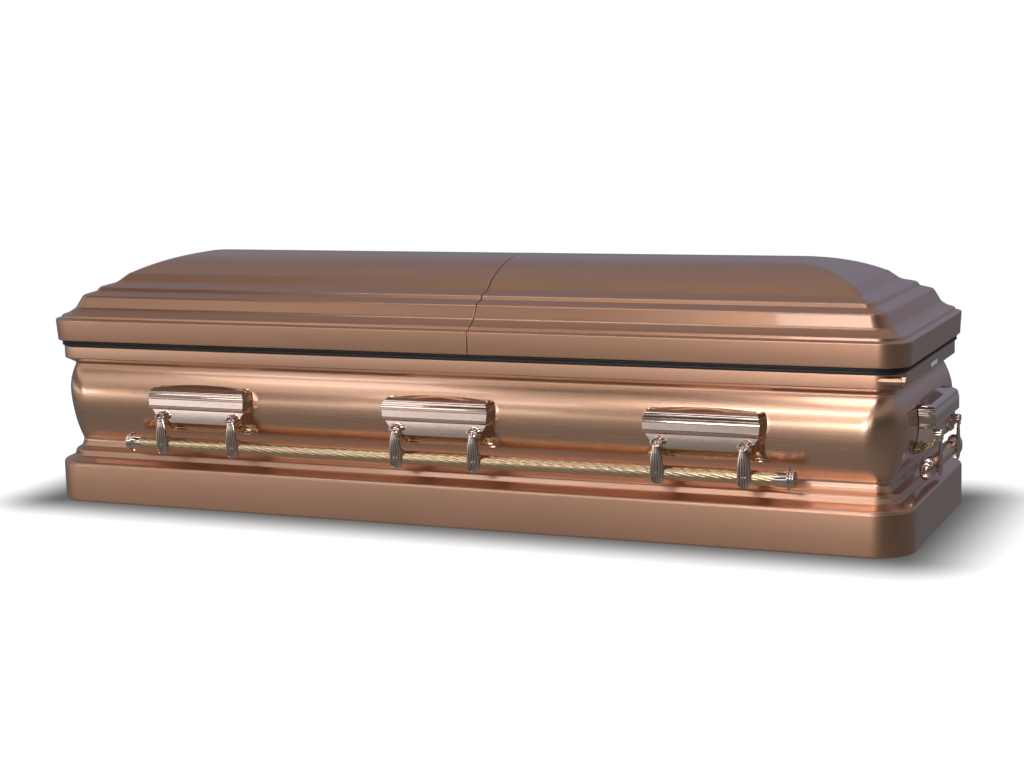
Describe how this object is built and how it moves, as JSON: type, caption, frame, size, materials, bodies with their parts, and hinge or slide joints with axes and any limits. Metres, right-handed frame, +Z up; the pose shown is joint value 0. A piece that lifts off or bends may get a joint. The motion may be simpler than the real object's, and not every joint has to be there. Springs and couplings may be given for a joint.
{
  "type": "funeral casket",
  "caption": "Sheet-metal half-couch burial casket with a moulded body, gasketed rim, split hipped lid hinged along the far side, and swing-bar handles all round.",
  "frame": {"origin": "middle of the underside, at the centre of the casket's overall box", "axes": "+X runs to the foot end, +Z is up, and the long front with the lids' free edge faces -Y"},
  "size_m": [2.1864, 0.7084, 0.596],
  "materials": {
    "copper_bronze": "satin",
    "rose_nickel": "polished",
    "pale_gold": "satin",
    "black_rubber": "matte",
    "zinc_steel": "satin",
    "white_plate": "satin"
  },
  "bodies": {
    "casket_body": {"body_shell": "copper_bronze", "bottom_pan": "zinc_steel", "rim_gasket": "black_rubber", "hinge_head_1_body_leaf": "zinc_steel", "hinge_head_1_pin": "zinc_steel", "hinge_head_2_body_leaf": "zinc_steel", "hinge_head_2_pin": "zinc_steel", "hinge_foot_1_body_leaf": "zinc_steel", "hinge_foot_1_pin": "zinc_steel", "hinge_foot_2_body_leaf": "zinc_steel", "hinge_foot_2_pin": "zinc_steel", "memorial_tube": "copper_bronze", "memorial_tube_cap": "copper_bronze", "blank_plate": "white_plate", "lug_front_1": "rose_nickel", "lug_front_2": "rose_nickel", "lug_front_3": "rose_nickel", "lug_back_1": "rose_nickel", "lug_back_2": "rose_nickel", "lug_back_3": "rose_nickel", "lug_head_end": "rose_nickel", "lug_foot_end": "rose_nickel"},
    "lid_head": {"lid_head": "copper_bronze", "hinge_head_1_lid_leaf": "zinc_steel", "hinge_head_2_lid_leaf": "zinc_steel"},
    "lid_foot": {"lid_foot": "copper_bronze", "hinge_foot_1_lid_leaf": "zinc_steel", "hinge_foot_2_lid_leaf": "zinc_steel"},
    "handle_front": {"arm_front_1": "rose_nickel", "arm_front_2": "rose_nickel", "arm_front_3": "rose_nickel", "arm_front_4": "rose_nickel", "arm_front_5": "rose_nickel", "arm_front_6": "rose_nickel", "bar_front": "pale_gold", "tip_front_left": "rose_nickel", "tip_front_right": "rose_nickel"},
    "handle_back": {"arm_back_1": "rose_nickel", "arm_back_2": "rose_nickel", "arm_back_3": "rose_nickel", "arm_back_4": "rose_nickel", "arm_back_5": "rose_nickel", "arm_back_6": "rose_nickel", "bar_back": "pale_gold", "tip_back_left": "rose_nickel", "tip_back_right": "rose_nickel"},
    "handle_head_end": {"arm_head_end_1": "rose_nickel", "arm_head_end_2": "rose_nickel", "bar_head_end": "pale_gold", "tip_head_end_left": "rose_nickel", "tip_head_end_right": "rose_nickel"},
    "handle_foot_end": {"arm_foot_end_1": "rose_nickel", "arm_foot_end_2": "rose_nickel", "bar_foot_end": "pale_gold", "tip_foot_end_left": "rose_nickel", "tip_foot_end_right": "rose_nickel"}
  },
  "joints": [
    {"name": "lid_head_hinge", "type": "hinge", "parent": "casket_body", "child": "lid_head", "pos_m": [0, 0.323, 0.391], "axis": [-1, 0, 0], "range_deg": [0, 90]},
    {"name": "lid_foot_hinge", "type": "hinge", "parent": "casket_body", "child": "lid_foot", "pos_m": [0, 0.323, 0.391], "axis": [-1, 0, 0], "range_deg": [0, 90]},
    {"name": "handle_front_swing", "type": "hinge", "parent": "casket_body", "child": "handle_front", "pos_m": [0, -0.3493, 0.2245], "axis": [-1, 0, 0], "range_deg": [0, 85]},
    {"name": "handle_back_swing", "type": "hinge", "parent": "casket_body", "child": "handle_back", "pos_m": [0, 0.3493, 0.2245], "axis": [1, 0, 0], "range_deg": [0, 85]},
    {"name": "handle_head_end_swing", "type": "hinge", "parent": "casket_body", "child": "handle_head_end", "pos_m": [-1.0883, 0, 0.2245], "axis": [0, 1, 0], "range_deg": [0, 85]},
    {"name": "handle_foot_end_swing", "type": "hinge", "parent": "casket_body", "child": "handle_foot_end", "pos_m": [1.0883, 0, 0.2245], "axis": [0, -1, 0], "range_deg": [0, 85]}
  ]
}
